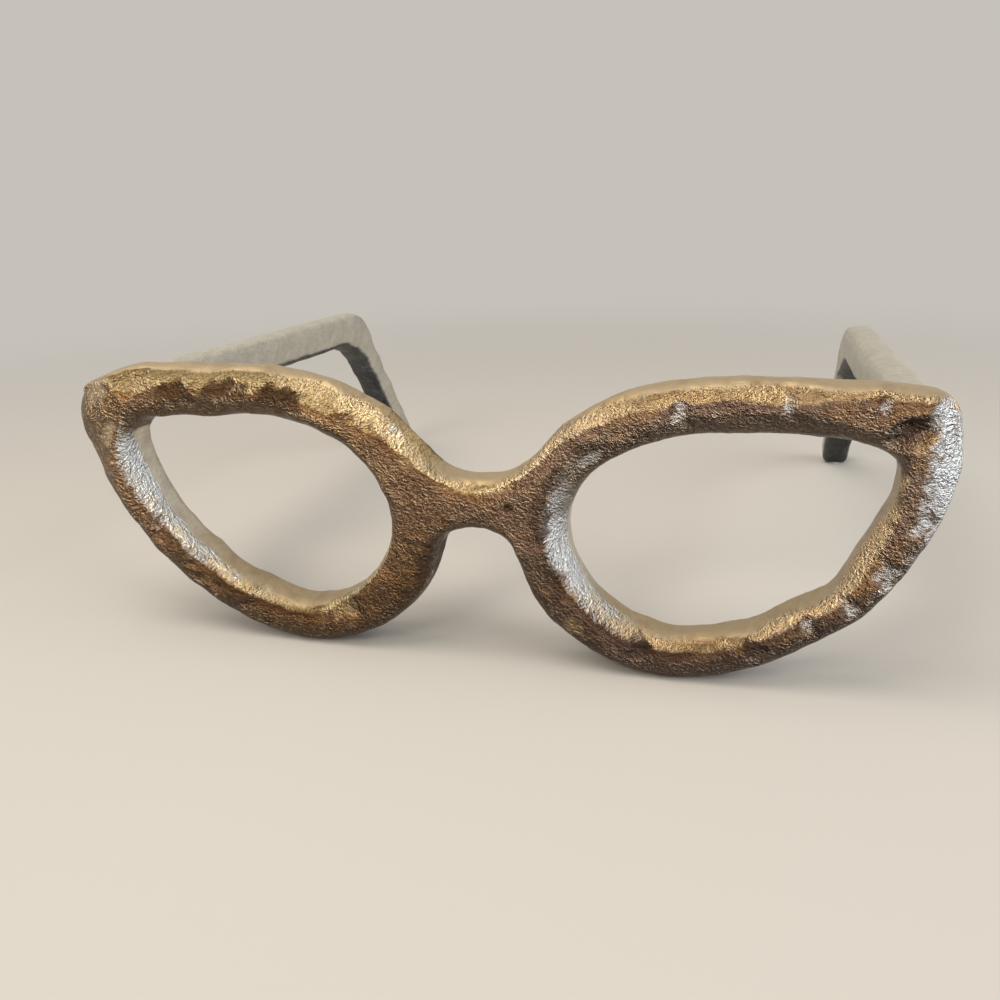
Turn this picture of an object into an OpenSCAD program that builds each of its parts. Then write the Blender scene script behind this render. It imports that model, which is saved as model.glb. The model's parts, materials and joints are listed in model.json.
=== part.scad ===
// Cat-eye eyeglasses sculpture: a thick cast front and two cast temples, bent down at the rear to stand on.
// The front faces -Y, the temples run to +Y, and the origin is on the table under the middle of the whole.

/* [Front] */
// Width of the front over both rims
front_w = 296; // [260:1:330]
// Height of the rims' crown above the table
front_h = 100; // [92:1:110]
// Thickness of the front, front face to back face
front_t = 18; // [14:0.5:22]
// Rounding of the front's outer edges
edge_r = 5; // [3:0.5:6]
// Rounding of the edges round the lens openings
lens_edge_r = 3.5; // [2:0.5:5]

/* [Rims] */
// Distance from the middle to the crown of a rim
crown_x = 85; // [82:1:96]
// Depth below the crown at which the front is widest
widest_drop = 13.5; // [10:0.5:20]
// Distance from a rim's outermost point in to the hip, where the crown starts to fall to the corner
hip_in = 11.5; // [9:0.5:16]
// Depth of the hip below the crown
hip_drop = 1.6; // [1:0.1:4]
// Slope of the crown at the hip
hip_slope = 11; // [6:1:20]
// Distance from the middle to the point where a rim stands
foot_x = 65.5; // [60:0.5:70]
// Metal above a lens opening
band_top = 15.5; // [12:0.5:18]
// Metal under a lens opening
band_bottom = 13.5; // [12:0.5:18]
// Metal at the outer side of a lens opening
band_side = 18; // [14:0.5:20]
// Distance from the middle to a lens opening
lens_near_x = 29.5; // [28:0.5:33]
// Height of a lens opening's nearest point to the nose
lens_near_z = 50; // [46:1:54]
// Depth below the crown of a lens opening's outermost point
lens_far_drop = 26.5; // [25:0.5:30]
// Distance from the middle to a lens opening's lowest point
lens_low_x = 67; // [62:1:72]

/* [Bridge] */
// Height of the bridge's top above the table
bridge_top = 64.5; // [60:0.5:67]
// Height of the bridge from top to bottom
bridge_h = 16; // [12:0.5:18]
// Width of the nose gap below the bridge
nose_w = 29.5; // [26:0.5:34]
// Height where the nose gap reaches that width
nose_z = 37; // [33:0.5:39]
// Distance from the middle to the steepest point of the brow line
brow_x = 23.5; // [22:0.5:26]
// Height of that point
brow_z = 77.5; // [74:0.5:79]
// Slope of the brow line there
brow_slope = 50; // [40:1:52]
// Slope of the nose gap's side at its width, from the upright
nose_slope = 12; // [6:1:16]

/* [Corner facets] */
// Distance from a rim's outermost point in to the ridge where the corner facet starts
facet_w = 13; // [8:0.5:18]
// Angle by which the facet turns away from the front face
facet_angle = 30; // [15:1:40]

/* [Temples] */
// Width of a temple
temple_w = 13.5; // [12:0.5:16]
// Height of a temple
temple_h = 15.5; // [14:0.5:17]
// Rounding of a temple's long edges
temple_r = 3.5; // [2:0.5:5]
// Distance from a rim's outermost point in to the middle of the temple, at the front's back face
temple_in = 15; // [14:0.5:18]
// Depth of the temple's middle below the crown, at the front's back face
temple_drop = 12.4; // [11.5:0.1:13]
// Length from the front's back face to the corner of the bend
temple_l = 185; // [150:1:200]
// Radius of the bend, on the middle line
bend_r = 10.5; // [10:0.5:18]
// Rounding of the temple's tip
tip_r = 6; // [4:0.5:7]
// Width of the flat that the tip stands on
tip_flat = 7.5; // [6:0.5:8.5]

/* [Set of the temples] */
// Angle by which the left temple draws in towards the rear
left_draw_angle = 0.5; // [-2:0.1:3]
// Angle by which the right temple draws in towards the rear
right_draw_angle = 0.3; // [-2:0.1:3]
// Fall of the left temple on its way to the bend
left_fall_angle = 1.5; // [0:0.1:3]
// Fall of the right temple on its way to the bend
right_fall_angle = 2.6; // [0:0.1:3]
// Angle of the left hook below the level
left_hook_angle = 52; // [44:0.5:60]
// Angle of the right hook below the level
right_hook_angle = 47.5; // [44:0.5:60]

/* [Seam] */
// Size of the welded and ground fillet between temple and front
weld_size = 4; // [2:0.5:5]
// Length of the fillet along the temple
weld_l = 7; // [5:0.5:9]
// Depth to which the fillet fills the front's rounded edges
weld_root = 3; // [2.5:0.1:3.4]
// Distance that the fillet keeps in from the front's outline
weld_margin = 1; // [0.7:0.1:1.5]
// Gap between the fillet and the temple, all round
weld_gap = 0.05; // [0.02:0.01:0.1]
// Distance that the fillet keeps from a lens opening
weld_lens_margin = 0.3; // [0.2:0.1:0.6]
// Diameter of the threaded stud
stud_d = 5; // [4:0.5:6]
// Length of the stud inside the front
stud_in_front = 12; // [8:0.5:13]
// Length of the stud inside the temple
stud_in_temple = 16; // [10:0.5:20]
// Height of the stud above the temple's middle
stud_up = 1.8; // [1.5:0.1:2.2]
// Diameter of the dowel
dowel_d = 3; // [2:0.5:3]
// Length of the dowel on each side of the seam
dowel_half_l = 8; // [5:0.5:12]
// Depth of the dowel below the temple's middle
dowel_down = 4.4; // [4.2:0.1:4.8]
// Gap between a stud or dowel and its bore, all round
bore_gap = 0.1; // [0.05:0.05:0.2]
// Gap left at the end of each bore
end_gap = 0.5; // [0.2:0.1:1]

/* [Pads] */
// Diameter of a felt pad
pad_d = 7; // [5:0.5:8]
// Thickness of a felt pad
pad_t = 1.2; // [1:0.1:2]
// Depth of the recess that holds the pad
seat_depth = 0.6; // [0.4:0.1:0.8]
// Gap between pad and recess, all round
seat_gap = 0.1; // [0.05:0.05:0.3]

/* [Hidden] */

$fn = 48;
bow_steps = 8;
edge_steps = 3;
corner_steps = 3;
bend_steps = 8;
tip_steps = 4;
weld_steps = 5;
tip_last_angle = 80;
weld_last_angle = 80;
cut = 1;

bronze = [0.62, 0.52, 0.38];
silver = [0.62, 0.6, 0.55];
steel = [0.7, 0.71, 0.73];
felt = [0.85, 0.83, 0.78];

// The metal stands clear of the table by the part of the pads that shows
lift = pad_t - seat_depth;

end_x = front_w / 2;
facet_x = end_x - facet_w;
temple_x = end_x - temple_in;
temple_z = front_h - temple_drop;

// Headings of an outline that runs clockwise, seen from the front
outward = 0;
downward = -90;
inward = -180;
upward = -270;

// A stop of an outline: a point, a heading, and how hard the curve is pulled along it before and after
rim_stops = [
    [[0, bridge_top], outward, 0, 0.44],
    [[brow_x, brow_z], outward + brow_slope, 0.33, 0.2],
    [[crown_x, front_h], outward, 0.54, 0.34],
    [[end_x - hip_in, front_h - hip_drop], outward - hip_slope, 0.14, 0.4],
    [[end_x, front_h - widest_drop], downward, 0.4, 0.28],
    [[foot_x, lift], inward, 0.385, 0.44],
    [[nose_w / 2, nose_z], upward + nose_slope, 0.3, 0.38],
    [[0, bridge_top - bridge_h], inward, 0.54, 0]
];
lens_stops = [
    [[lens_near_x, lens_near_z], upward, 0, 0.285],
    [[crown_x, front_h - band_top], outward, 0.515, 0.7],
    [[end_x - band_side, front_h - lens_far_drop], downward, 0.21, 0.25],
    [[lens_low_x, lift + band_bottom], inward, 0.36, 0.37],
    [[lens_near_x, lens_near_z], upward, 0.35, 0]
];

// Points of the curves from stop to stop, without the last stop
function along(heading) = [cos(heading), sin(heading)];
function bow(a, b) =
    let (p0 = a[0],
         p3 = b[0],
         chord = norm(p3 - p0),
         p1 = p0 + along(a[1]) * a[3] * chord,
         p2 = p3 - along(b[1]) * b[2] * chord)
    [for (i = [0 : bow_steps - 1])
        let (t = i / bow_steps, u = 1 - t)
        p0 * u * u * u + p1 * 3 * u * u * t + p2 * 3 * u * t * t + p3 * t * t * t];
function chain(stops) =
    [for (i = [0 : len(stops) - 2]) each bow(stops[i], stops[i + 1])];

// Outer line of the front, clockwise from the top of the bridge; its left half mirrors its right half
half_line = chain(rim_stops);
outer_line = concat(
    half_line,
    [rim_stops[len(rim_stops) - 1][0]],
    [for (i = [len(half_line) - 1 : -1 : 1]) [-half_line[i][0], half_line[i][1]]]);
lens_line = chain(lens_stops);

// Moves the points of a closed clockwise line inwards
function inset(line, depth) =
    [for (i = [0 : len(line) - 1])
        let (n = len(line),
             run = line[(i + 1) % n] - line[(i + n - 1) % n])
        line[i] + [run[1], -run[0]] / norm(run) * depth];

// Points halfway along the sides of a closed line, so that a cut's corners miss those of the plate
function halfway(line) = [for (i = [0 : len(line) - 1]) (line[i] + line[(i + 1) % len(line)]) / 2];

// Rings of a rounded edge: depth behind the front face, and distance in from the wall
function edge_rings(r) = concat(
    [for (k = [edge_steps : -1 : 0])
        let (a = 90 * k / edge_steps) [r * (1 - sin(a)), r * (1 - cos(a))]],
    [for (k = [0 : edge_steps])
        let (a = 90 * k / edge_steps) [front_t - r * (1 - sin(a)), r * (1 - cos(a))]]);

// How each temple is set: its draw, its fall and its hook's angle
left_set = [left_draw_angle, left_fall_angle, left_hook_angle];
right_set = [right_draw_angle, right_fall_angle, right_hook_angle];

// Middle line of a temple in the plane it bends in: distance behind the seam, and height
function bend_centre(set) =
    let (fall = set[1],
         corner = [temple_l, temple_z - temple_l * tan(fall)],
         start = corner - along(-fall) * bend_r * tan((set[2] - fall) / 2))
    start + along(-fall - 90) * bend_r;

// The tip's lower corner is an arc; its middle lies at the height where the table's plane cuts the flat
tip_core = temple_h / 2 - tip_r;
tip_middle_z = lift + sqrt(tip_r * tip_r - tip_flat * tip_flat / 4);
function hook_end(set) =
    let (hook = set[2],
         top = bend_centre(set) + along(90 - hook) * bend_r,
         end_z = tip_middle_z - tip_r * sin(hook) + tip_core * cos(hook))
    top + along(-hook) * (top[1] - end_z) / sin(hook);
function foot_back(set) = hook_end(set)[0] - tip_r * cos(set[2]) - tip_core * sin(set[2]);

// Stations along a temple: a point of the middle line, a heading, and how much the section draws in
function stations(set) = concat(
    [[[0, temple_z], 0, 0]],
    [for (k = [0 : bend_steps])
        let (a = set[1] + (set[2] - set[1]) * k / bend_steps)
        [bend_centre(set) + along(90 - a) * bend_r, -a, 0]],
    [for (k = [0 : tip_steps])
        let (a = tip_last_angle * k / tip_steps)
        [hook_end(set) - along(-set[2]) * tip_r * (1 - sin(a)), -set[2], tip_r * (1 - cos(a))]]);

// Section of a temple, drawn in or grown by a distance: sideways and upwards from its middle
function section(grow) =
    let (w = temple_w / 2 - temple_r,
         h = temple_h / 2 - temple_r)
    [for (q = [0 : 3]) for (k = [0 : corner_steps])
        let (a = 90 - 90 * (q + k / corner_steps),
             sx = q < 2 ? w : -w,
             sz = q == 0 || q == 3 ? h : -h)
        [(sx + temple_r * cos(a)) * (1 + 2 * grow / temple_w),
         (sz + temple_r * sin(a)) * (1 + 2 * grow / temple_h)]];

// Section at a station, in space: across, back from the seam, and up
function ring_at(s, draw, grow = 0) =
    let (up = along(s[1] + 90))
    [for (p = section(grow - s[2]))
        let (back = s[0][0] + up[0] * p[1])
        [temple_x + p[0] - back * tan(draw), back, s[0][1] + up[1] * p[1]]];

// The whole is centred front to back between its front face and the rearmost point of the temples
rear_reach = max([
    for (set = [left_set, right_set]) for (s = stations(set)) for (p = ring_at(s, 0)) p[1]]);
seam_y = (front_t - rear_reach) / 2;
front_y = seam_y - front_t;
rim_pad_y = front_y + front_t / 2;
function tip_x(set) = temple_x - foot_back(set) * tan(set[0]);
function tip_y(set) = seam_y + foot_back(set);

// Solid between rings of equally many points, closed flat at both ends
module skin(rings) {
    n = len(rings[0]);
    last = len(rings) - 1;
    points = [for (ring = rings) each ring];
    sides = [for (k = [0 : last - 1]) for (i = [0 : n - 1])
        let (a = k * n + i,
             b = k * n + (i + 1) % n)
        each [[a, b + n, b], [a, a + n, b + n]]];
    polyhedron(points, concat(
        sides,
        [[for (i = [0 : n - 1]) i]],
        [[for (i = [n - 1 : -1 : 0]) last * n + i]]), convexity = 10);
}

// Solid on a closed line of the front, with a ring for each depth and inset
module plate(line, rings) {
    skin([for (r = rings) [for (p = inset(line, r[1])) [p[0], front_y + r[0], p[1]]]]);
}

// Opening for a lens, flared at both faces by the rounding of its edges
module lens_opening() {
    plate(lens_line, concat(
        [[-cut, -lens_edge_r]],
        [for (r = edge_rings(lens_edge_r)) [r[0], -r[1]]],
        [[front_t + cut, -lens_edge_r]]));
}

// Flat facet at the outer corner, turned back from the ridge
module corner_facet() {
    translate([facet_x, front_y, -cut])
        rotate([0, 0, facet_angle])
            translate([0, -front_t, 0])
                cube([facet_w * 2, front_t, front_h + 2 * cut]);
}

// Round bar along Y through the seam, by its height from the temple's middle
module seam_bar(d, up, before, behind) {
    translate([temple_x, seam_y - before, temple_z + up])
        rotate([-90, 0, 0])
            cylinder(d = d, h = before + behind);
}

// Bores for the stud and the dowel, through front, seam and temple
module seam_bores() {
    seam_bar(stud_d + 2 * bore_gap, stud_up, stud_in_front + end_gap, stud_in_temple + end_gap);
    seam_bar(dowel_d + 2 * bore_gap, -dowel_down, dowel_half_l + end_gap, dowel_half_l + end_gap);
}

module pad_seat(x, y) {
    translate([x, y, -cut])
        cylinder(d = pad_d + 2 * seat_gap, h = pad_t + cut);
}

module pad(x, y) {
    color(felt)
        translate([x, y, 0])
            cylinder(d = pad_d, h = pad_t);
}

module on_left() {
    mirror([1, 0, 0]) children();
}

module on_both() {
    children();
    on_left() children();
}

// Both rims and the bridge as they leave the mould, with nothing drilled
module front_casting() {
    difference() {
        plate(outer_line, edge_rings(edge_r));
        on_both() {
            lens_opening();
            corner_facet();
        }
    }
}

module front_frame() {
    color(bronze)
        difference() {
            front_casting();
            on_both() {
                seam_bores();
                pad_seat(foot_x, rim_pad_y);
            }
        }
}

// Temple with nothing drilled, cut flat where it stands; grown, it also starts ahead of the seam
module temple_casting(set, grow = 0) {
    rings = [for (s = stations(set)) [for (p = ring_at(s, set[0], grow)) p + [0, seam_y, 0]]];
    start = [for (p = rings[0]) p - [0, grow, 0]];
    difference() {
        skin(grow > 0 ? concat([start], rings) : rings);
        translate([0, seam_y, lift - front_h])
            cube([front_w, rear_reach + cut, front_h]);
    }
}

module temple(set) {
    color(silver)
        difference() {
            temple_casting(set);
            seam_bores();
            pad_seat(tip_x(set), tip_y(set));
        }
}

// Fillet welded round the seam and ground smooth; it fills the front's rounded edge under the temple too
module weld(set) {
    start = [for (p = section(weld_size)) [temple_x + p[0], seam_y - weld_root, temple_z + p[1]]];
    collar = [for (k = [0 : weld_steps])
        let (a = weld_last_angle * k / weld_steps,
             back = weld_l * (1 - cos(a)))
        [for (p = section(weld_size * (1 - sin(a))))
            [temple_x + p[0] - back * tan(set[0]),
             seam_y + back,
             temple_z + p[1] - back * tan(set[1])]]];
    color(bronze)
        difference() {
            intersection() {
                skin(concat([start], collar));
                translate([0, seam_y + weld_l, 0])
                    rotate([90, 0, 0])
                        linear_extrude(weld_l + weld_root + cut)
                            difference() {
                                polygon(halfway(inset(outer_line, weld_margin)));
                                polygon(halfway(inset(lens_line, -weld_lens_margin)));
                            }
            }
            front_casting();
            temple_casting(set, weld_gap);
            seam_bores();
        }
}

module stud() {
    color(steel) seam_bar(stud_d, stud_up, stud_in_front, stud_in_temple);
}

module dowel() {
    color(steel) seam_bar(dowel_d, -dowel_down, dowel_half_l, dowel_half_l);
}

front_frame();
on_left() temple(left_set);  // left_temple
temple(right_set);  // right_temple
on_left() weld(left_set);  // left_weld
weld(right_set);  // right_weld
on_left() stud();  // left_stud
stud();  // right_stud
on_left() dowel();  // left_dowel
dowel();  // right_dowel
pad(-foot_x, rim_pad_y);  // left_rim_pad
pad(foot_x, rim_pad_y);  // right_rim_pad
pad(-tip_x(left_set), tip_y(left_set));  // left_tip_pad
pad(tip_x(right_set), tip_y(right_set));  // right_tip_pad
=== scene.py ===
# Hammered cat-eye eyeglasses sculpture in champagne bronze: castings, pads, studs, stage, lamps and camera.
# Metres; the front faces -Y, +Z is up, and the origin is on the ground under the middle of the whole.
import json
import math
import bpy
import numpy as np
from mathutils import Matrix, Vector

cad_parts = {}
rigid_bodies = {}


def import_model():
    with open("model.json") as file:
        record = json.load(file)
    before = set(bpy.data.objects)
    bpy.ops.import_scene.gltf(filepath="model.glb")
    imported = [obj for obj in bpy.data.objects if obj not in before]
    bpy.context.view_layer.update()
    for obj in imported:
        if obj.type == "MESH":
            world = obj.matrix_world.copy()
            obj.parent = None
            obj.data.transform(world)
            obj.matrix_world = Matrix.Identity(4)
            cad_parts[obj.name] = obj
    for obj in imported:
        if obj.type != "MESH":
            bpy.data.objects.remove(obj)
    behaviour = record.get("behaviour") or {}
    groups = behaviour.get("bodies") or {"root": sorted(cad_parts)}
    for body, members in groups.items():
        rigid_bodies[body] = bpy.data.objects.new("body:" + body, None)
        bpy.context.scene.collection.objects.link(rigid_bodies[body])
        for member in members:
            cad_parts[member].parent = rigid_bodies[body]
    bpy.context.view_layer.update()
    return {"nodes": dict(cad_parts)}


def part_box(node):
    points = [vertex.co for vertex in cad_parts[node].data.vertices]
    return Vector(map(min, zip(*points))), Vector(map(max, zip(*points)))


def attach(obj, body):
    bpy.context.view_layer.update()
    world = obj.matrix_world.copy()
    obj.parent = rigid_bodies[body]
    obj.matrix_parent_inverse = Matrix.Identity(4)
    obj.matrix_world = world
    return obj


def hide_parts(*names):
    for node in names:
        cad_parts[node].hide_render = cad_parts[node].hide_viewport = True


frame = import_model()
mm = 0.001
print("frame loaded:", len(frame["nodes"]), "nodes")

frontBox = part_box("front_frame")
frontY = frontBox[0].y  # the foremost of the front
seamY = frontBox[1].y  # its back face, where the temples start


def pick(*objs):  # selects these objects alone
    bpy.ops.object.select_all(action="DESELECT")
    for obj in objs:
        obj.select_set(True)
    bpy.context.view_layer.objects.active = objs[0]


def applyModifiers(obj):
    pick(obj)
    for modifier in list(obj.modifiers):
        bpy.ops.object.modifier_apply(modifier=modifier.name)


def readPoints(mesh):
    values = np.empty(len(mesh.vertices) * 3, np.float32)
    mesh.vertices.foreach_get("co", values)
    return values.reshape(-1, 3)


def readNormals(mesh):
    values = np.empty(len(mesh.vertices) * 3, np.float32)
    mesh.vertex_normals.foreach_get("vector", values)
    return values.reshape(-1, 3)


def writePoints(mesh, points):
    mesh.vertices.foreach_set("co", np.ascontiguousarray(points, np.float32).ravel())
    mesh.update()


def ramp(values, low, high):  # eases from 0 at low to 1 at high
    t = np.clip((values - low) / (high - low), 0, 1)
    return t * t * (3 - 2 * t)


# Camera at the photograph's angle: its place, its turns in degrees, and its lens and sensor
view = {
    "across": 88.8 * mm, "back": 415.1 * mm, "height": 159.2 * mm,
    "turn": 15.949, "down": 18.99, "roll": 1.728, "lens": 33.88, "sensor": 36, "nearest": 0.01,
}


def placeCamera():
    bpy.ops.object.camera_add()
    camera = bpy.context.object
    camera.name = "photoCamera"
    camera.data.lens = view["lens"]
    camera.data.sensor_width = view["sensor"]
    camera.data.clip_start = view["nearest"]
    turn = Matrix.Rotation(math.radians(view["turn"]), 4, "Z")
    tilt = Matrix.Rotation(math.radians(90 - view["down"]), 4, "X")
    roll = Matrix.Rotation(math.radians(-view["roll"]), 4, "Z")
    place = Matrix.Translation((view["across"], -view["back"], view["height"]))
    camera.matrix_world = place @ turn @ tilt @ roll
    bpy.context.scene.camera = camera


placeCamera()
print("camera placed")


# Shader helpers
def newMaterial(name):
    material = bpy.data.materials.new(name)
    material.use_nodes = True
    tree = material.node_tree
    return material, tree, tree.nodes["Principled BSDF"]


def feed(tree, socket, value):  # value is a number, a colour or a socket
    if isinstance(value, tuple):
        socket.default_value = (*value, 1)
    elif isinstance(value, (int, float)):
        socket.default_value = value
    else:
        tree.links.new(value, socket)


def mixColours(tree, factor, a, b):
    mix = tree.nodes.new("ShaderNodeMix")
    mix.data_type = "RGBA"
    for socket, value in ((mix.inputs[0], factor), (mix.inputs[6], a), (mix.inputs[7], b)):
        feed(tree, socket, value)
    return mix.outputs[2]


def remap(tree, value, low, high, toLow=0.0, toHigh=1.0):
    item = tree.nodes.new("ShaderNodeMapRange")
    item.interpolation_type = "SMOOTHSTEP"
    item.inputs["From Min"].default_value = low
    item.inputs["From Max"].default_value = high
    item.inputs["To Min"].default_value = toLow
    item.inputs["To Max"].default_value = toHigh
    tree.links.new(value, item.inputs["Value"])
    return item.outputs["Result"]


def blend(tree, operation, a, b):  # arithmetic on two values or sockets
    item = tree.nodes.new("ShaderNodeMath")
    item.operation = operation
    for socket, value in zip(item.inputs, (a, b)):
        feed(tree, socket, value)
    return item.outputs[0]


def plus(tree, a, b):
    return blend(tree, "ADD", a, b)


def minus(tree, a, b):
    return blend(tree, "SUBTRACT", a, b)


def times(tree, a, b):
    return blend(tree, "MULTIPLY", a, b)


def larger(tree, a, b):
    return blend(tree, "MAXIMUM", a, b)


def noiseAt(tree, scale, detail=2, distortion=0, roughness=0.5, stretch=(1, 1, 1), turn=0):
    place = tree.nodes.new("ShaderNodeMapping")
    place.inputs["Scale"].default_value = stretch
    place.inputs["Rotation"].default_value = (0, math.radians(turn), 0)
    tree.links.new(tree.nodes.new("ShaderNodeTexCoord").outputs["Object"], place.inputs["Vector"])
    item = tree.nodes.new("ShaderNodeTexNoise")
    item.inputs["Scale"].default_value = scale
    item.inputs["Detail"].default_value = detail
    item.inputs["Distortion"].default_value = distortion
    item.inputs["Roughness"].default_value = roughness
    tree.links.new(place.outputs["Vector"], item.inputs["Vector"])
    return item.outputs[0]


def attribute(tree, name):
    item = tree.nodes.new("ShaderNodeAttribute")
    item.attribute_name = name
    return item.outputs["Fac"]


# Noises of the cast skin: scale, detail, distortion, roughness, stretch and turn
noises = {
    "ridges": (1020, 3, 0.2, 0.65, (0.8, 1, 1.1), 42),
    "specks": (2500, 2, 0.2, 0.6),
    "mottle": (90, 4, 0.6),
    "patina": (62, 3, 0.8),
    "streaks": (420, 3, 0.4, 0.5, (1, 1, 0.12)),
    "breaks": (330, 4, 0.8, 0.65),
}
# Grain of the skin: its height in the bump, the light that its painted glints face, and how it moves the
# painted tones
grain = {
    "ridgeHeight": 0.85 * mm, "speckHeight": 0.18 * mm, "smoothPart": 0.14,
    "towardsLight": (0.58, -0.25, 0.78), "crossLight": (-0.8, -0.3, 0.5),
    "dither": 0.25, "breakUp": 0.10, "breakRight": 0.35, "breakPatch": 0.4,
    "lowShadeUp": 0.22, "gapRight": 0.5, "sideMix": 0.5,
    "goldLift": 0.14, "silverLift": 0.07, "brightLift": 0.12, "goldSharper": 1.4, "silverSharper": 2.2,
    "darkDull": 0.6, "lowShadeDull": 0.15, "brightPolish": 0.13,
}
# Where a tone fades in: the value where it starts and where it is full, and for some its least and most
borders = {
    "rough": (0.1, 0.8), "breaks": (0.25, 0.75, -0.5, 0.5), "crossed": (0.45, 0.85),
    "lined": (0.45, 0.65), "patina": (0.50, 0.64, 0, 0.5), "shadeUp": (0.12, -0.36),
    "leftRight": (-0.2, -0.65), "leftUp": (0.35, 0.10, 0, 0.5),
    "roundAhead": (0.85, 0.55), "roundUp": (0.05, 0.30), "roundRight": (0.30, 0.0),
    "goldUp": (0.40, 0.62), "paleUp": (0.70, 0.90),
    "silverRight": (0.28, 0.88), "silverUp": (-0.40, -0.05), "silverOuter": (0.45, 0.15),
    "sideRight": (0.84, 0.96, 0, 0.75), "brightRight": (0.50, 0.80),
    "innerAhead": (0.24, 0.08), "innerUp": (-0.5, -0.2), "innerRight": (-0.2, 0.4), "innerTop": (0.55, 0.85),
    "glint": (-0.16, 0.46), "sparkle": (0.38, 0.66, 0, 0.75),
    "sparkleLight": (-0.4, 0.2, 0.35, 1.0), "sparkleSilver": (0.1, 0.7, 1.0, 0.0),
    "mottle": (0.45, 0.75, 0, 0.25), "mottlePolish": (0.3, 0.75, -0.04, 0.06),
    "grainPolish": (0.2, 0.9, 0.60, 0.28),
}
# Marks painted on the skin as highlights and shade: the weights where they start to show and show in full,
# and how strong each kind may get
patches = {"start": 0.20, "full": 1.0, "goldHighlight": 0.5, "silverHighlight": 0.8, "paleLit": 0.65, "dark": 0.8}
# Each tone is the colour painted in the pits of the grain, as painted shade, and the colour of its painted
# glints
frontFinish = {
    "brown": ((0.050, 0.021, 0.007), (0.36, 0.215, 0.120)),
    "rosyBrown": ((0.038, 0.019, 0.012), (0.32, 0.205, 0.150)),
    "amber": ((0.070, 0.032, 0.009), (0.56, 0.32, 0.13)),
    "shade": ((0.035, 0.021, 0.012), (0.15, 0.088, 0.050)),
    "rosyShade": ((0.030, 0.020, 0.016), (0.14, 0.095, 0.075)),
    "gold": ((0.085, 0.050, 0.016), (0.99, 0.77, 0.41)),
    "rosyGold": ((0.080, 0.044, 0.018), (0.98, 0.70, 0.38)),
    "silver": ((0.055, 0.052, 0.049), (0.95, 0.98, 1.0)),
    "pale": ((0.47, 0.375, 0.245), (0.58, 0.465, 0.31)),
    "inner": ((0.42, 0.34, 0.25), (0.60, 0.50, 0.38)),
    "innerBright": ((0.56, 0.50, 0.41), (0.76, 0.71, 0.62)),
    "sparkle": (0.98, 0.80, 0.56), "streaks": 0.0,
}
templeFinish = {
    "brown": ((0.32, 0.295, 0.255), (0.66, 0.61, 0.535)),
    "shade": ((0.045, 0.046, 0.046), (0.26, 0.27, 0.275)),
    "gold": ((0.46, 0.42, 0.33), (0.72, 0.66, 0.54)),
    "silver": ((0.50, 0.49, 0.46), (0.82, 0.81, 0.78)),
    "pale": ((0.54, 0.51, 0.43), (0.72, 0.68, 0.58)),
    "inner": ((0.46, 0.44, 0.38), (0.70, 0.67, 0.59)),
    "sparkle": (0.86, 0.84, 0.80), "streaks": 0.6,
}
for alike, tone in (("rosyBrown", "brown"), ("amber", "brown"), ("rosyShade", "shade"), ("rosyGold", "gold"),
                    ("innerBright", "inner")):
    templeFinish[alike] = templeFinish[tone]


def bumpOn(tree, height, distance, normal=None):
    bump = tree.nodes.new("ShaderNodeBump")
    bump.inputs["Distance"].default_value = distance
    tree.links.new(height, bump.inputs["Height"])
    if normal:
        tree.links.new(normal, bump.inputs["Normal"])
    return bump.outputs["Normal"]


def leaning(tree, normal, direction):  # how far a normal leans towards a direction
    item = tree.nodes.new("ShaderNodeVectorMath")
    item.operation = "DOT_PRODUCT"
    item.inputs[1].default_value = direction
    tree.links.new(normal, item.inputs[0])
    return item.outputs["Value"]


def mixTones(tree, factor, a, b):  # mixes both colours of two tones
    return tuple(mixColours(tree, factor, low, high) for low, high in zip(a, b))


def fade(tree, value, border):  # remaps between the two values of a named border
    return remap(tree, value, *borders[border])


def grainBump(tree):  # the bumps of the grain, and how deep it is there
    depth = remap(tree, attribute(tree, "rough"), *borders["rough"], grain["smoothPart"], 1.0)
    normal = None
    for noise, height in (("specks", grain["speckHeight"]), ("ridges", grain["ridgeHeight"])):
        centred = minus(tree, noiseAt(tree, *noises[noise]), 0.5)  # so the grain ends without a step
        normal = bumpOn(tree, times(tree, centred, depth), height, normal)
    return normal, depth


def grainGlint(tree, normal, right, ahead, up):  # how much more a grain leans to the light than its face
    broad = tree.nodes.new("ShaderNodeCombineXYZ")
    for socket, value in zip(broad.inputs, (right, times(tree, ahead, -1.0), up)):
        tree.links.new(value, socket)
    faceLight = leaning(tree, broad.outputs[0], grain["towardsLight"])
    glint = minus(tree, leaning(tree, normal, grain["towardsLight"]), faceLight)
    faceCross = leaning(tree, broad.outputs[0], grain["crossLight"])
    crossGlint = minus(tree, leaning(tree, normal, grain["crossLight"]), faceCross)
    crossed = fade(tree, faceLight, "crossed")
    glint = plus(tree, times(tree, glint, minus(tree, 1.0, crossed)), times(tree, crossGlint, crossed))
    return glint, faceLight


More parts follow.
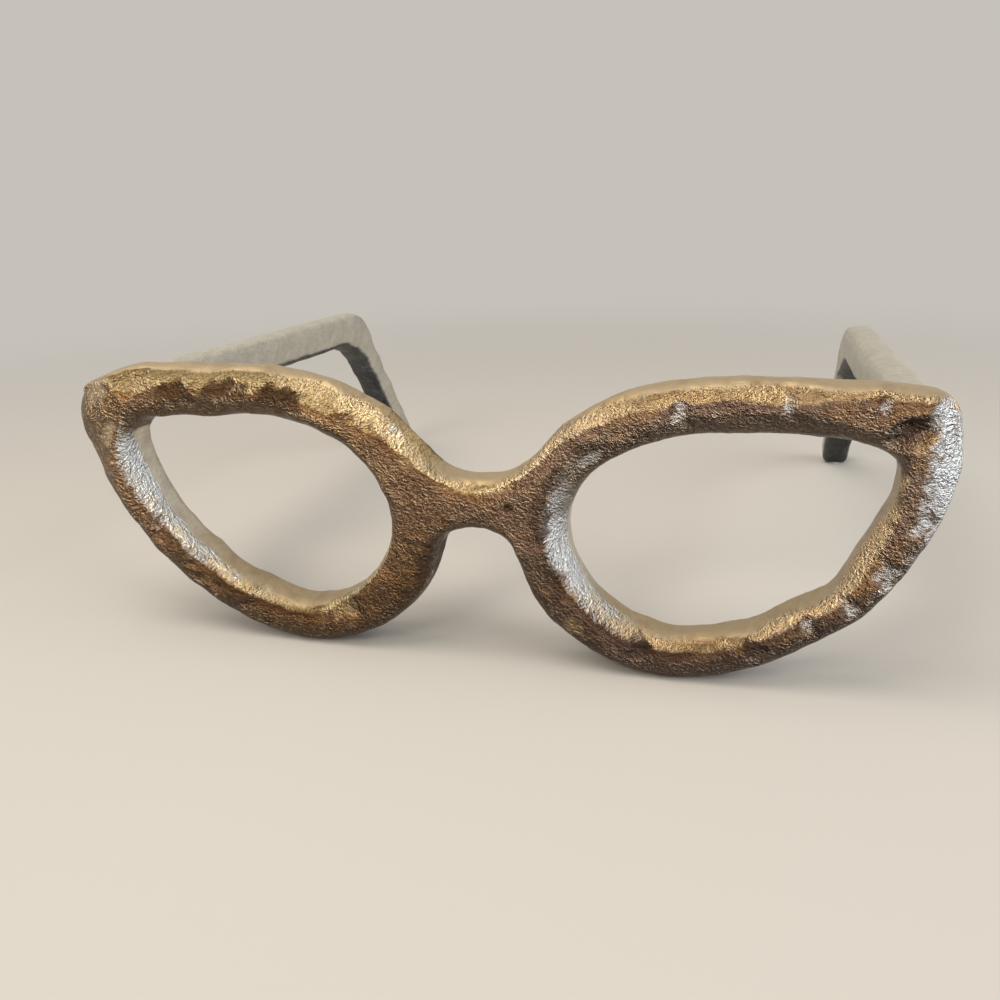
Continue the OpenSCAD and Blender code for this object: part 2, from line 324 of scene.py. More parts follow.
def facingTone(tree, finish, right, ahead, up):  # shade below, brown ahead, gold above that, pale on top
    # Rosy tones are a painted tint of the light on the right side, growing towards the right
    rosy = attribute(tree, "rosy")
    inLens = attribute(tree, "inLens")
    offLens = minus(tree, 1.0, inLens)
    shade = mixTones(tree, rosy, finish["shade"], finish["rosyShade"])
    gold = mixTones(tree, rosy, finish["gold"], finish["rosyGold"])
    lined = times(tree, fade(tree, noiseAt(tree, *noises["streaks"]), "lined"), finish["streaks"])
    pale = mixTones(tree, lined, finish["pale"], finish["silver"])

    # Brown on faces ahead is painted shade, darker again in the shade tone below and on faces turned left;
    # amber comes in at random
    tone = mixTones(tree, rosy, finish["brown"], finish["rosyBrown"])
    tone = mixTones(tree, fade(tree, noiseAt(tree, *noises["patina"]), "patina"), tone, finish["amber"])
    tone = mixTones(tree, lined, tone, finish["silver"])
    tone = mixTones(tree, fade(tree, up, "shadeUp"), tone, shade)
    leftward = times(tree, fade(tree, right, "leftRight"), fade(tree, up, "leftUp"))
    tone = mixTones(tree, leftward, tone, shade)

    # Gold where the metal faces up and along the lens's rounded edges is a painted warm highlight, and pale
    # on the tops is the painted lit tone
    rounding = times(tree, fade(tree, ahead, "roundAhead"), fade(tree, up, "roundUp"))
    rounding = times(tree, rounding, times(tree, inLens, fade(tree, right, "roundRight")))
    warmHighlight = larger(tree, fade(tree, up, "goldUp"), rounding)
    tone = mixTones(tree, warmHighlight, tone, gold)
    tone = mixTones(tree, fade(tree, up, "paleUp"), tone, pale)

    # Silver where the metal faces right is a painted cool reflection, half of it on the outer sides facing
    # right, and strongest where it is bright
    coolSheen = times(tree, fade(tree, right, "silverRight"), fade(tree, up, "silverUp"))
    onOuter = times(tree, fade(tree, up, "silverOuter"), offLens)
    coolSheen = times(tree, coolSheen, plus(tree, inLens, onOuter))
    tone = mixTones(tree, coolSheen, tone, finish["silver"])
    side = mixTones(tree, grain["sideMix"], finish["rosyBrown"], finish["silver"])
    tone = mixTones(tree, times(tree, fade(tree, right, "sideRight"), offLens), tone, side)

    # The lens walls are painted lighter where they face right, a painted highlight, and pale towards the top
    inner = mixTones(tree, fade(tree, right, "innerRight"), finish["inner"], finish["innerBright"])
    inner = mixTones(tree, fade(tree, up, "innerTop"), inner, pale)
    inside = times(tree, fade(tree, ahead, "innerAhead"), fade(tree, up, "innerUp"))
    tone = mixTones(tree, times(tree, inside, inLens), tone, inner)

    tones = {"goldHighlight": gold, "silverHighlight": finish["silver"], "paleLit": pale, "dark": shade}
    bright = times(tree, fade(tree, right, "brightRight"), coolSheen)
    return tone, tones, warmHighlight, coolSheen, bright


def castBronze(name, finish):
    material, tree, shader = newMaterial(name)
    right, ahead, up = (attribute(tree, facing) for facing in ("facesRight", "facesAhead", "facesUp"))
    normal, depth = grainBump(tree)
    tree.links.new(normal, shader.inputs["Normal"])
    glint, faceLight = grainGlint(tree, normal, right, ahead, up)

    # Grain and breaks make the borders between the tones ragged
    breaks = fade(tree, noiseAt(tree, *noises["breaks"]), "breaks")
    dither = times(tree, glint, grain["dither"])
    # lowShade paints shade on the low faces ahead: they turn darker towards the bottom
    lowShade = attribute(tree, "lowShade")
    up = plus(tree, up, plus(tree, dither, times(tree, breaks, grain["breakUp"])))
    up = minus(tree, up, times(tree, lowShade, grain["lowShadeUp"]))
    right = plus(tree, right, plus(tree, dither, times(tree, breaks, grain["breakRight"])))
    # The nose gap gets painted shade: its faces count as turned further left
    right = minus(tree, right, times(tree, attribute(tree, "gap"), grain["gapRight"]))
    tone, tones, warmHighlight, coolSheen, bright = facingTone(tree, finish, right, ahead, up)

    # The painted marks lie over that, and the painted gold and silver get more painted glints
    lift = larger(tree, times(tree, warmHighlight, grain["goldLift"]), times(tree, coolSheen, grain["silverLift"]))
    lift = plus(tree, lift, times(tree, bright, grain["brightLift"]))
    silverHighlight = coolSheen
    for layer, patchTone in tones.items():
        shown = plus(tree, attribute(tree, layer), times(tree, breaks, grain["breakPatch"]))
        shown = remap(tree, plus(tree, shown, dither), patches["start"], patches["full"], 0, patches[layer])
        tone = mixTones(tree, shown, tone, patchTone)
        if layer == "silverHighlight":
            silverHighlight = larger(tree, silverHighlight, shown)
        if layer != "dark":
            lift = larger(tree, lift, times(tree, shown, grain["silverLift"]))
    # Painted glints are sharper on the painted gold and silver, and duller in painted shade low on the front
    # and in dark marks
    sharper = times(tree, silverHighlight, grain["silverSharper"])
    sharper = plus(tree, sharper, times(tree, warmHighlight, grain["goldSharper"]))
    glint = plus(tree, times(tree, glint, plus(tree, 1.0, sharper)), lift)
    dull = larger(tree, lowShade, times(tree, attribute(tree, "dark"), grain["darkDull"]))
    glint = minus(tree, glint, times(tree, dull, grain["lowShadeDull"]))

    colour = mixColours(tree, fade(tree, glint, "glint"), *tone)
    # Painted sparkle: a near-white highlight on the grains that lean most to the light, less on silver
    sparkle = times(tree, fade(tree, glint, "sparkle"), fade(tree, faceLight, "sparkleLight"))
    sparkle = times(tree, sparkle, fade(tree, silverHighlight, "sparkleSilver"))
    sparkle = times(tree, sparkle, attribute(tree, "rough"))
    colour = mixColours(tree, sparkle, colour, finish["sparkle"])
    mottle = noiseAt(tree, *noises["mottle"])
    colour = mixColours(tree, fade(tree, mottle, "mottle"), colour, tones["dark"][1])
    tree.links.new(colour, shader.inputs["Base Color"])
    shader.inputs["Metallic"].default_value = 1.0
    polish = plus(tree, fade(tree, mottle, "mottlePolish"), fade(tree, depth, "grainPolish"))
    polish = minus(tree, polish, times(tree, bright, grain["brightPolish"]))
    tree.links.new(polish, shader.inputs["Roughness"])
    return material


# The casting as one skin: front, temples and the ground welds between them
casting = {
    "nodes": ("front_frame", "left_weld", "right_weld", "left_temple", "right_temple"),
    "mergeWithin": 0.001 * mm, "voxel": 0.72 * mm, "meltShare": 0.5, "meltRounds": 70, "fatten": 0.55 * mm,
}


def joinCasting():
    copies = []
    for name in casting["nodes"]:
        copy = bpy.data.objects.new("casting", frame["nodes"][name].data.copy())
        bpy.context.collection.objects.link(copy)
        copies.append(copy)
    pick(*copies)
    bpy.ops.object.join()
    skin = bpy.context.object
    skin.data.materials.clear()
    bpy.ops.object.mode_set(mode="EDIT")
    bpy.ops.mesh.select_all(action="SELECT")
    bpy.ops.mesh.remove_doubles(threshold=casting["mergeWithin"])
    bpy.ops.object.mode_set(mode="OBJECT")
    return skin


def dropInnerShells(skin):  # keeps only the outer skin, found from its highest point
    outer = int(np.argmax(readPoints(skin.data)[:, 2]))
    pick(skin)
    bpy.ops.object.mode_set(mode="EDIT")
    bpy.ops.mesh.select_mode(type="VERT")
    bpy.ops.mesh.select_all(action="DESELECT")
    bpy.ops.object.mode_set(mode="OBJECT")
    skin.data.vertices[outer].select = True
    bpy.ops.object.mode_set(mode="EDIT")
    bpy.ops.mesh.select_linked()
    bpy.ops.mesh.select_all(action="INVERT")
    bpy.ops.mesh.delete(type="VERT")
    bpy.ops.object.mode_set(mode="OBJECT")


def weightGroup(obj, name, weights, steps=8):  # a vertex group whose weights go in steps
    group = obj.vertex_groups.new(name=name)
    for step in range(1, steps + 1):
        near = np.nonzero(np.ceil(weights * steps) == step)[0]
        group.add(near.tolist(), step / steps, "REPLACE")


def falloff(distance, radius):  # 1 in the middle, 0 from the radius on
    t = np.clip(distance / radius, 0, 1)
    return (1 - t * t) ** 2


def castSkin():
    skin = joinCasting()
    remesh = skin.modifiers.new("cast", "REMESH")
    remesh.mode = "VOXEL"
    remesh.voxel_size = casting["voxel"]
    remesh.use_smooth_shade = True
    applyModifiers(skin)
    dropInnerShells(skin)
    melt = skin.modifiers.new("melt", "SMOOTH")
    melt.factor = casting["meltShare"]
    melt.iterations = casting["meltRounds"]
    applyModifiers(skin)
    bpy.ops.object.mode_set(mode="EDIT")
    bpy.ops.mesh.select_all(action="SELECT")
    bpy.ops.transform.shrink_fatten(value=casting["fatten"])
    bpy.ops.object.mode_set(mode="OBJECT")
    return skin


skin = castSkin()
print("skin:", len(skin.data.vertices), "points")

# Where the casting isn't true to its mirror image: middle of a pull across and up, its radius, and the pull
pulls = (
    ("leftTip", (-148, 88), 17, (-2.0, -0.4)),
    ("leftPoint", (-143, 93.5), 8, (-2.0, -0.8)),
    ("leftSide", (-137, 61), 13, (-1.0, -0.4)),
    ("leftEnd", (-145, 76), 16, (-3.2, -0.4)),
    ("leftCorner", (-143, 100), 18, (0.0, -2.6)),
    ("leftLensTop", (-98, 84), 20, (0.0, -1.8)),
    ("leftLensCorner", (-116, 81), 10, (0.0, -1.4)),
    ("leftLensFloor", (-84, 17), 16, (0.0, 1.3)),
    ("rightEnd", (149, 82), 20, (-0.9, 0.0)),
    ("rightCorner", (151, 92), 17, (-2.4, -0.2)),
    ("rightLensFloor", (109, 36), 17, (1.9, -2.6)),
    ("rightLensDip", (92, 24), 13, (0.4, -1.6)),
    ("rightLensCorner", (121, 81), 9, (-1.8, 0.4)),
    ("rightOuterCurve", (124, 33), 24, (1.0, -1.0)),
)
pullFade = {"ahead": 4 * mm, "behind": 12 * mm}  # where the pulls end, about the front's back face


def pullSkin(skin):
    points = readPoints(skin.data)
    attached = 1 - ramp(points[:, 1], seamY - pullFade["ahead"], seamY + pullFade["behind"])
    for name, middle, radius, pull in pulls:
        reach = np.hypot(points[:, 0] - middle[0] * mm, points[:, 2] - middle[1] * mm)
        weight = falloff(reach, radius * mm) * attached
        points[:, 0] += weight * pull[0] * mm
        points[:, 2] += weight * pull[1] * mm
    writePoints(skin.data, points)


pullSkin(skin)

# The elbows of the temples, fuller than a bent bar: distance behind the front's back face and height of the
# middle of each pull, its radius, and the pull to the rear and up
elbows = {
    "leftInner": ((181, 75), 17, (-2.0, -4.2)), "leftBack": ((196, 82), 13, (2.2, 0.3)),
    "rightInner": ((181.5, 71.5), 17, (-2.0, -4.2)), "rightBack": ((196.5, 78.5), 13, (1.4, 0.2)),
}


def fillElbows(skin):
    points = readPoints(skin.data)
    for name, (middle, radius, pull) in elbows.items():
        side = points[:, 0] < 0 if name.startswith("left") else points[:, 0] > 0
        reach = np.hypot(points[:, 1] - seamY - middle[0] * mm, points[:, 2] - middle[1] * mm)
        weight = falloff(reach, radius * mm) * side
        points[:, 1] += weight * pull[0] * mm
        points[:, 2] += weight * pull[1] * mm
    writePoints(skin.data, points)


fillElbows(skin)
print("outline pulled, elbows filled")

# Edges that were ground back, each a line of across, up, radius and how far back
groundEdges = {
    "leftCrown": ((-138, 97, 8, 1.5), (-124, 100, 11, 3.0), (-100, 102, 12, 3.5), (-64, 101, 12, 3.5),
                  (-42, 95, 12, 3.5), (-24, 81, 9, 2.0)),
    "leftLens": ((-121, 77, 9, 4.0), (-120, 68, 15, 9.5), (-114.5, 57, 15, 11), (-106.5, 47, 14, 10.5),
                 (-98, 37, 13, 9), (-87, 28, 12, 7), (-75, 21, 10, 4.5), (-60, 17, 8, 2.5)),
    "leftLensTop": ((-112, 83, 5, 1.5), (-97, 85, 6, 2.5), (-77, 85, 6, 2.5), (-60, 80, 6, 2.5),
                    (-48, 74, 6, 2.0), (-38, 64, 5, 1.0)),
    "rightLensTop": ((54, 81, 5, 1.0), (72, 84.5, 6, 2.5), (100, 85.5, 7, 3.0), (122, 82, 6, 2.5),
                     (128, 76, 5, 1.0)),
    "rightCrown": ((26, 85, 7, 1.5), (42, 96, 9, 2.0), (70, 101, 9, 2.4), (98, 101, 8, 1.8),
                   (114, 101, 6, 0.6)),
    "rightLensNose": ((52, 83, 7, 0.8), (41, 75, 8, 2.0), (34, 64, 9, 4.0), (31.5, 51, 10, 6.5),
                      (36, 40, 11, 8.5), (44.5, 29.5, 10.5, 8.0), (54, 20, 9, 5.0), (68, 15, 8, 2.5),
                      (82, 20, 9, 3.5), (96, 30, 12, 5.5), (107, 40, 13, 6.0), (116, 51, 13, 6.0),
                      (122, 63, 10, 3.0)),
}
# How near to the back face grinding reaches, the depth from which an edge is fully ground, and its smoothing
grinding = {"clearance": 1 * mm, "fullDepth": 3 * mm, "share": 0.8, "rounds": 60}


def alongLine(points, line):  # for each point, its distance from the line in radii, and the depth there
    nearest = np.full(len(points), np.inf)
    depths = np.zeros(len(points))
    for start, end in zip(line, line[1:]):
        start, end = np.array(start) * mm, np.array(end) * mm
        step = end[:2] - start[:2]
        t = np.clip(((points - start[:2]) @ step) / (step @ step), 0, 1)
        aside = np.linalg.norm(points - start[:2] - t[:, None] * step, axis=1)
        share = aside / (start[2] + t * (end[2] - start[2]))
        closer = share < nearest
        nearest[closer] = share[closer]
        depths[closer] = (start[3] + t * (end[3] - start[3]))[closer]
    return nearest, depths


def grindEdges(skin):
    points = readPoints(skin.data)
    hindmost = seamY - grinding["clearance"]
    ahead = np.clip((hindmost - points[:, 1]) / (hindmost - frontY), 0, 1)
    back = np.zeros(len(points))
    for line in groundEdges.values():
        nearest, depths = alongLine(points[:, [0, 2]], line)
        back = np.maximum(back, depths * falloff(nearest, 1) * ahead)
    points[:, 1] += back
    writePoints(skin.data, points)
    ground = np.clip(back / grinding["fullDepth"], 0, 1)
    weightGroup(skin, "ground", ground)
    grind = skin.modifiers.new("grind", "SMOOTH")
    grind.factor = grinding["share"]
    grind.iterations = grinding["rounds"]
    grind.vertex_group = "ground"
    applyModifiers(skin)
    return ground


ground = grindEdges(skin)

# Flat facets filed on the corners: a point of the facet, the way it faces, and how far it reaches
filedFacets = {
    "rightCorner": ((141.5, -137.6, 80), (0.46, -0.88, 0.10), 30),
    "leftTip": ((-139, -136.6, 92), (-0.40, -0.86, 0.32), 14),
}
facetCore = 0.7  # the share of its reach in which a facet is quite flat


def fileFacets(skin):
    points = readPoints(skin.data)
    for place, facing, reach in filedFacets.values():
        facing = np.array(facing) / np.linalg.norm(facing)
        away = points - np.array(place) * mm
        proud = np.clip(away @ facing, 0, None)
        near = 1 - ramp(np.linalg.norm(away, axis=1), facetCore * reach * mm, reach * mm)
        points -= (proud * near)[:, None] * facing
    writePoints(skin.data, points)


fileFacets(skin)
print("edges ground, facets filed")

# Marks made by hand in the front face: middle across and up, half sizes, turn, depth and what shows there
# What is painted: gold, silver and glint marks are painted highlights, pale marks the painted lit tone, dark
# marks painted shade in hollows and creases
marks = (
    ("tipFacet", (-140, 91), (9, 6), 20, 1.4, "pale"),
    ("tipCrease", (-136, 76), (3.5, 8), -35, 0.9, "pale"),
    ("tipGold", (-124, 95), (7, 5), 10, 1.6, "gold"),
    ("crownHollowOuter", (-107, 90.5), (9, 5), 5, 0.8, "dark"),
    ("crownHollowMiddle", (-87, 91.5), (11, 5.5), 0, 0.9, "dark"),
    ("crownHollowInner", (-66.5, 90), (10, 5.5), -8, 0.8, "dark"),
    ("crownGoldOuter", (-97, 95), (3.2, 4), 0, 0.2, "gold"),
    ("crownGoldInner", (-76.5, 96), (5, 4.5), 0, 0.3, "gold"),
    ("browGoldOuter", (-54, 92), (9, 5.5), -18, 0.9, "gold"),
    ("browGoldInner", (-39, 87), (8, 6), -35, 1.4, "gold"),
    ("shoulderWhite", (-27, 80), (5.5, 3), -40, 0.7, "glint"),
    ("shoulderGold", (-21, 73), (6, 4), -35, 1.0, "gold"),
    ("noseDark", (-15.5, 37), (4, 13), -26, 0.8, "dark"),
    ("rimCrease", (-20, 42), (7, 1.2), -15, 0.7, "dark"),
    ("lowGold", (-50, 16), (9, 5), 10, 1.4, "gold"),
    ("lowScallopOuter", (-118, 38), (6, 8), 40, 1.2, ""),
    ("lowScallopMiddle", (-103, 24), (6, 9), 50, 1.4, ""),
    ("lowScallopInner", (-82, 12), (6, 9), 65, 1.2, ""),
    ("bridgePit", (12, 57.5), (1.6, 1.6), 0, 0.9, "dark"),
    ("bridgeGold", (2, 64), (16, 3), 3, 0.8, "gold"),
    ("noseEdgeDark", (22.5, 54), (3.6, 11), 0, 0.2, "dark"),
    ("browDark", (27.5, 67.5), (3.2, 7), -39, 0.2, "dark"),
    ("rimSilver", (44, 25), (3.2, 9), 38, 0.0, "silver"),
    ("rimDark", (27, 31.5), (4.2, 7), 15, 0.5, "dark"),
    ("rimOrange", (34, 17), (4, 6), 35, 0.6, "gold"),
    ("browSilver", (39, 75), (6, 2.6), 40, 0.4, "glint"),
    ("browGold", (46, 92), (12, 4), 28, 1.2, "gold"),
    ("crownGold", (94, 97.5), (13, 4), -2, 1.4, "gold"),
    ("crownPatch", (66, 91), (3, 7), 15, 1.2, "glint"),
    ("crownStreak", (97, 94), (2.5, 5), 10, 1.0, "glint"),
    ("cornerStreak", (123, 95), (2.2, 4), 15, 0.8, "glint"),
    ("cornerWhite", (139, 93), (4, 8), -8, 0.8, "silver"),
    ("cornerFacet", (142, 74), (6, 16), -8, 0.6, "silver"),
    ("crescent", (131, 87.2), (8.5, 5.0), 24, 3.4, ""),
    ("crescentDark", (130, 89.0), (8.5, 3.4), 24, 0.0, "dark"),
    ("crescentGold", (134.5, 84.2), (5, 3), 30, 0.0, "gold"),
    ("lensGold", (125, 59), (4, 4), 0, 1.0, "gold"),
    ("outerFirst", (136.5, 60), (4, 5), -30, 1.2, "glint"),
    ("outerSecond", (128.5, 43.5), (5, 5.5), -40, 1.4, "glint"),
    ("outerThird", (119, 32.5), (4, 4.5), -40, 1.2, "glint"),
    ("outerFourth", (107.5, 24), (3.5, 4), -50, 1.2, "glint"),
    ("bottomGold", (75, 14.5), (14, 3), 5, 0.9, "gold"),
    ("bottomDark", (92, 14), (4, 4.5), 20, 1.4, "dark"),
    ("bottomPit", (55, 11), (4, 5), -20, 1.4, "dark"),
)
# The waves of a mark's edge: height as a share of its smaller half size, and how close they are each way;
# a mark is pressed into what faces ahead, and fades out between two depths behind the front
markEdge = {
    "wave": 0.16, "closeUp": 1.1, "closeAcross": 0.9, "facing": (-0.1, 0.4), "fade": (8 * mm, 13 * mm),
}


def markWeight(points, middle, halfSizes, turn):  # 1 at the middle of a mark, 0 at its crisp, wavy edge
    across = points[:, 0] / mm - middle[0]
    up = points[:, 2] / mm - middle[1]
    wave = markEdge["wave"] * min(halfSizes)
    wavyAcross = across + wave * np.sin(up * markEdge["closeUp"] + middle[0])
    wavyUp = up + wave * np.sin(across * markEdge["closeAcross"] + middle[1])
    cosine = math.cos(math.radians(turn))
    sine = math.sin(math.radians(turn))
    along = (wavyAcross * cosine + wavyUp * sine) / halfSizes[0]
    aside = (wavyUp * cosine - wavyAcross * sine) / halfSizes[1]
    return np.clip(1 - along ** 2 - aside ** 2, 0, 1)


def pressMarks(skin):
    points = readPoints(skin.data)
    front = -readNormals(skin.data)[:, 1]
    fadeStart, fadeEnd = markEdge["fade"]
    ahead = ramp(front, *markEdge["facing"])
    ahead = ahead * (1 - ramp(points[:, 1], frontY + fadeStart, frontY + fadeEnd))
    weights = [markWeight(points, middle, sizes, turn) for name, middle, sizes, turn, depth, show in marks]
    for mark, weight in zip(marks, weights):
        points[:, 1] += mark[4] * mm * weight * ahead
    writePoints(skin.data, points)


# Hammering and grain over the whole casting: name, texture, size of a mark, and depth
blows = (
    ("hammerFaces", "VORONOI", 15 * mm, 1.7 * mm),
    ("softWaves", "CLOUDS", 9 * mm, 1.0 * mm),
)
grains = (
    ("castLumps", "CLOUDS", 3.2 * mm, 0.38 * mm),
    ("castGrain", "CLOUDS", 1.5 * mm, 0.28 * mm),
)
# The hammer moves the outline less than the faces, the right lens's brow hardly, the standing points not
hammer = {
    "outlineShare": 0.25, "calmMiddle": (27, 60), "calmRadius": 16, "calmShare": 0.85,
    "foot": (1 * mm, 4 * mm),
}


def pressTextures(skin, textures):
    for name, kind, size, depth in textures:
        texture = bpy.data.textures.new(name, kind)
        texture.noise_scale = size
        if kind == "VORONOI":
            texture.distance_metric = "DISTANCE_SQUARED"
        press = skin.modifiers.new(name, "DISPLACE")
        press.texture = texture
        press.texture_coords = "LOCAL"
        press.vertex_group = "free"
        press.mid_level = 0.5
        press.strength = depth
    applyModifiers(skin)


def freeSurface(skin):  # how much the hammer may move each point
    points = readPoints(skin.data)
    standing = ramp(points[:, 2], *hammer["foot"])
    middle = hammer["calmMiddle"]
    reach = np.hypot(points[:, 0] / mm - middle[0], points[:, 2] / mm - middle[1])
    calm = 1 - hammer["calmShare"] * falloff(reach, hammer["calmRadius"])
    least = hammer["outlineShare"]
    return standing * calm * (least + (1 - least) * np.abs(readNormals(skin.data)[:, 1]))


weightGroup(skin, "free", freeSurface(skin))
smoothNormals = readNormals(skin.data)
pressTextures(skin, blows)
pressMarks(skin)
print("skin hammered")


# Layers painted on the skin: where each starts and is full, by place or by how far the metal faces a way
paint = {
    "lensMiddle": (78, 52), "evenness": 0.45, "frontBehind": 3 * mm,
    "marked": (0.0, 0.4), "darkEdge": (0, 0.55), "glintShare": 0.65,
    "back": (0.35, 0.85), "facing": (0.06, 0.20), "top": (0.70, 0.92), "under": (0.25, 0.7),
    "backGrain": 0.35, "inLens": (-0.2, 0.1), "rosy": (-30 * mm, 60 * mm),
    "lowShadeUp": (18 * mm, 70 * mm), "lowShadeFacing": (0.3, 0.7),
    "gapFrom": (-36 * mm, -26 * mm), "gapTo": (0, 6 * mm), "gapTop": 60 * mm,
}


def paintSkin(skin):
    points = readPoints(skin.data)
    normals = (1 - paint["evenness"]) * readNormals(skin.data) + paint["evenness"] * smoothNormals
    normals /= np.linalg.norm(normals, axis=1, keepdims=True)
    right, front, up = normals[:, 0], -normals[:, 1], normals[:, 2]
    onFront = ramp(-points[:, 1], -(seamY + paint["frontBehind"]), -seamY)
    ahead = ramp(front, *paint["marked"])
    aheadOrBack = np.where(front > 0, front, -front * ramp(-front, *paint["back"]))
    facing = ramp(aheadOrBack, *paint["facing"]) * (1 - ramp(up, *paint["top"]))
    lensAcross = np.sign(points[:, 0]) * paint["lensMiddle"][0] * mm - points[:, 0]
    lensUp = paint["lensMiddle"][1] * mm - points[:, 2]
    towardsLens = (lensAcross * right + lensUp * up) / np.hypot(lensAcross, lensUp)
    shown = {show: np.zeros(len(points)) for show in ("gold", "silver", "glint", "dark", "pale")}
    for name, middle, halfSizes, turn, depth, show in marks:
        if show:
            weight = markWeight(points, middle, halfSizes, turn) * ahead
            weight = ramp(weight, *paint["darkEdge"]) if show == "dark" else weight
            shown[show] = np.maximum(shown[show], weight)
    grained = paint["backGrain"] + (1 - paint["backGrain"]) * onFront
    # Painted shade on faces ahead, darker towards the bottom
    lowShade = (1 - ramp(points[:, 2], *paint["lowShadeUp"])) * ramp(front, *paint["lowShadeFacing"])
    # Painted shade in the gap at the nose
    inGap = ramp(points[:, 0], *paint["gapFrom"]) * (1 - ramp(points[:, 0], *paint["gapTo"]))
    layers = {
        "goldHighlight": shown["gold"],
        "silverHighlight": np.maximum(shown["silver"], paint["glintShare"] * shown["glint"]),
        "dark": shown["dark"],
        "paleLit": shown["pale"],
        "facesRight": right,
        "facesAhead": aheadOrBack,
        "facesUp": up,
        "inLens": ramp(towardsLens, *paint["inLens"]),
        "rough": np.maximum(facing, ramp(-up, *paint["under"])) * grained,
        # rosy: the painted tint of the light on the right side
        "rosy": ramp(points[:, 0], *paint["rosy"]),
        "lowShade": lowShade * (1 - ground),
        "gap": inGap * (points[:, 2] < paint["gapTop"]),
    }
    for name, values in layers.items():
        layer = skin.data.attributes.new(name, "FLOAT", "POINT")
        layer.data.foreach_set("value", values.astype(np.float32))


paintSkin(skin)
pressTextures(skin, grains)
print("skin painted")


# The skin comes apart into its pieces behind the front's back face; each is closed where it was cut
seams = {"weldStart": 1.5 * mm, "weldEnd": 6.5 * mm, "smoothAngle": math.radians(60)}


def cutPiece(skin, name, planes):
    piece = skin.copy()
    piece.data = skin.data.copy()
    piece.name = name
    bpy.context.collection.objects.link(piece)
    pick(piece)
    bpy.ops.object.mode_set(mode="EDIT")
    for place, normal in planes:
        bpy.ops.mesh.select_all(action="SELECT")
        bpy.ops.mesh.bisect(plane_co=place, plane_no=normal, use_fill=True, clear_inner=True)
    bpy.ops.object.mode_set(mode="OBJECT")
    pick(piece)
    bpy.ops.object.shade_smooth_by_angle(angle=seams["smoothAngle"])
    return piece


def splitSkin(skin):
    start = seamY + seams["weldStart"]
    end = seamY + seams["weldEnd"]
    pieces = {"front_casting": cutPiece(skin, "front_casting", [((0, start, 0), (0, -1, 0))])}
    for side, sign in (("left", -1), ("right", 1)):
        ownSide = ((0, 0, 0), (sign, 0, 0))
        pieces[side + "_weld_bead"] = cutPiece(
            skin, side + "_weld_bead", [ownSide, ((0, start, 0), (0, 1, 0)), ((0, end, 0), (0, -1, 0))])
        pieces[side + "_temple_casting"] = cutPiece(
            skin, side + "_temple_casting", [ownSide, ((0, end, 0), (0, 1, 0))])
    bpy.data.objects.remove(skin)
    return pieces


castings = splitSkin(skin)
frontMetal = castBronze("frontBronze", frontFinish)
templeMetal = castBronze("templeBronze", templeFinish)
for name, piece in castings.items():
    piece.data.materials.clear()
    piece.data.materials.append(templeMetal if "temple" in name else frontMetal)
    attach(piece, "root")
    print(name, len(piece.data.polygons), "faces")
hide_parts("front_frame")
for side in ("left", "right"):
    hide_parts(side + "_weld")
    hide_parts(side + "_temple")
print("castings done")


# Felt pads and hidden steel: scale of the noise, its colours, and how rough and high it is
feltLook = {
    "noise": (3500, 3, 2.0), "fade": (0.3, 0.7), "height": 0.1 * mm, "roughness": 0.95,
    "light": (0.74, 0.71, 0.65), "dark": (0.56, 0.53, 0.47),
}
steelLook = {
    "noise": (2500, 2), "polish": (0.3, 0.7, 0.25, 0.45),
    "light": (0.70, 0.70, 0.71), "dark": (0.58, 0.58, 0.59),
}


def feltMaterial():
    material, tree, shader = newMaterial("paleFelt")
    fibres = noiseAt(tree, *feltLook["noise"])
    colour = mixColours(tree, remap(tree, fibres, *feltLook["fade"]), feltLook["light"], feltLook["dark"])
    tree.links.new(colour, shader.inputs["Base Color"])
    shader.inputs["Roughness"].default_value = feltLook["roughness"]
    tree.links.new(bumpOn(tree, fibres, feltLook["height"]), shader.inputs["Normal"])
    return material


def steelMaterial():
    material, tree, shader = newMaterial("brushedSteel")
    scratches = noiseAt(tree, *steelLook["noise"])
    tree.links.new(remap(tree, scratches, *steelLook["polish"]), shader.inputs["Roughness"])
    colour = mixColours(tree, scratches, steelLook["dark"], steelLook["light"])
    tree.links.new(colour, shader.inputs["Base Color"])
    shader.inputs["Metallic"].default_value = 1.0
    return material


felt = feltMaterial()
steel = steelMaterial()
for name, node in frame["nodes"].items():
    if name.endswith("_pad"):
        node.data.materials.clear()
        node.data.materials.append(felt)
    if name.endswith("_stud") or name.endswith("_dowel"):
        node.data.materials.clear()
        node.data.materials.append(steel)
print("pads, studs and dowels coloured")


# Stage: a pale floor that fades into a backdrop, which looks brighter than it lights, and soft lamps
stage = {
    "floorSize": 12.0, "floorColour": (0.69, 0.66, 0.62), "floorDark": 0.96, "floorNoise": (3, 2),
    "floorRoughness": 0.8, "fade": (0.15, 0.9), "lampsAim": (0, -0.1, 0.05),
    "backdropColour": (0.565, 0.535, 0.49), "backdropLight": 0.47,
}
# Name, place, size, power and colour of each lamp
lamps = (
    ("coolSide", (1.3, -0.45, 0.62), 1.4, 15.0, (0.93, 0.97, 1.0)),
    ("warmOverhead", (-0.35, -0.42, 1.2), 0.9, 9.0, (1.0, 0.92, 0.80)),
    ("warmFront", (-0.35, -1.25, 0.85), 0.5, 6.0, (1.0, 0.92, 0.78)),
)


def seenRays(tree):  # 1 for rays from the camera and reflections, 0 for light that falls on things
    path = tree.nodes.new("ShaderNodeLightPath").outputs
    seen = larger(tree, path["Is Camera Ray"], path["Is Glossy Ray"])
    return larger(tree, seen, path["Is Transmission Ray"])


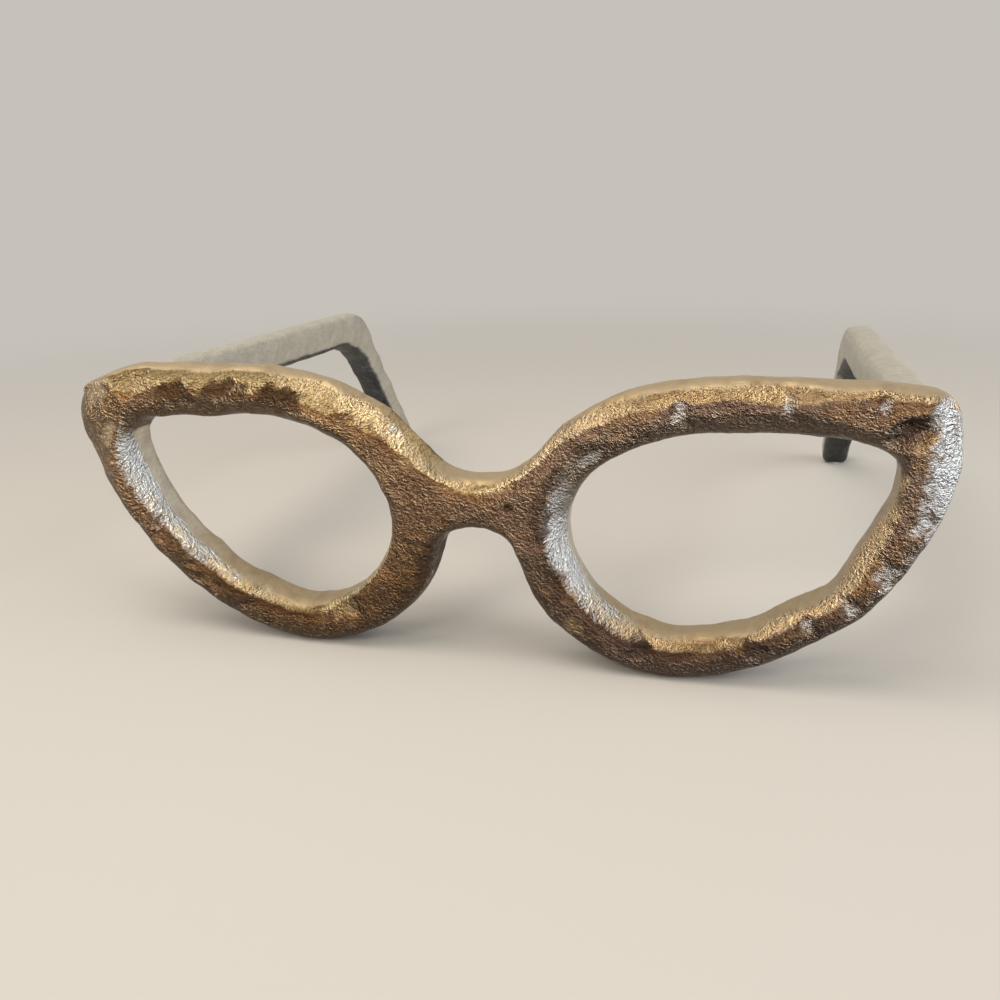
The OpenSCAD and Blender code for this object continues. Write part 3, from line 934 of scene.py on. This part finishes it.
def makeFloor():
    bpy.ops.object.select_all(action="DESELECT")
    bpy.ops.mesh.primitive_plane_add(size=stage["floorSize"])
    floor = bpy.context.object
    floor.name = "paleFloor"
    material, tree, shader = newMaterial("paleFloor")
    darker = tuple(stage["floorDark"] * part for part in stage["floorColour"])
    colour = mixColours(tree, noiseAt(tree, *stage["floorNoise"]), stage["floorColour"], darker)
    tree.links.new(colour, shader.inputs["Base Color"])
    shader.inputs["Roughness"].default_value = stage["floorRoughness"]
    far = tree.nodes.new("ShaderNodeVectorMath")
    far.operation = "LENGTH"
    tree.links.new(tree.nodes.new("ShaderNodeTexCoord").outputs["Object"], far.inputs[0])
    glow = tree.nodes.new("ShaderNodeEmission")
    glow.inputs["Color"].default_value = (*stage["backdropColour"], 1)
    mix = tree.nodes.new("ShaderNodeMixShader")
    distance = remap(tree, far.outputs["Value"], *stage["fade"])
    tree.links.new(times(tree, distance, seenRays(tree)), mix.inputs["Fac"])
    tree.links.new(shader.outputs[0], mix.inputs[1])
    tree.links.new(glow.outputs[0], mix.inputs[2])
    tree.links.new(mix.outputs[0], tree.nodes["Material Output"].inputs["Surface"])
    floor.data.materials.append(material)


def paintBackdrop():
    world = bpy.context.scene.world or bpy.data.worlds.new("backdrop")
    bpy.context.scene.world = world
    world.use_nodes = True
    tree = world.node_tree
    tree.nodes.clear()
    output = tree.nodes.new("ShaderNodeOutputWorld")
    background = tree.nodes.new("ShaderNodeBackground")
    background.inputs["Color"].default_value = (*stage["backdropColour"], 1)
    strength = remap(tree, seenRays(tree), 0, 1, stage["backdropLight"], 1)
    tree.links.new(strength, background.inputs["Strength"])
    tree.links.new(background.outputs["Background"], output.inputs["Surface"])


def hangLamps():
    for name, place, size, power, colour in lamps:
        bpy.ops.object.light_add(type="AREA", location=place)
        lamp = bpy.context.object
        lamp.name = name
        lamp.data.size = size
        lamp.data.energy = power
        lamp.data.color = colour
        lamp.visible_camera = False
        aim = Vector(stage["lampsAim"]) - Vector(place)
        lamp.rotation_euler = aim.to_track_quat("-Z", "Y").to_euler()


makeFloor()
paintBackdrop()
hangLamps()
bpy.context.scene.view_settings.view_transform = "Standard"
print("stage lit")
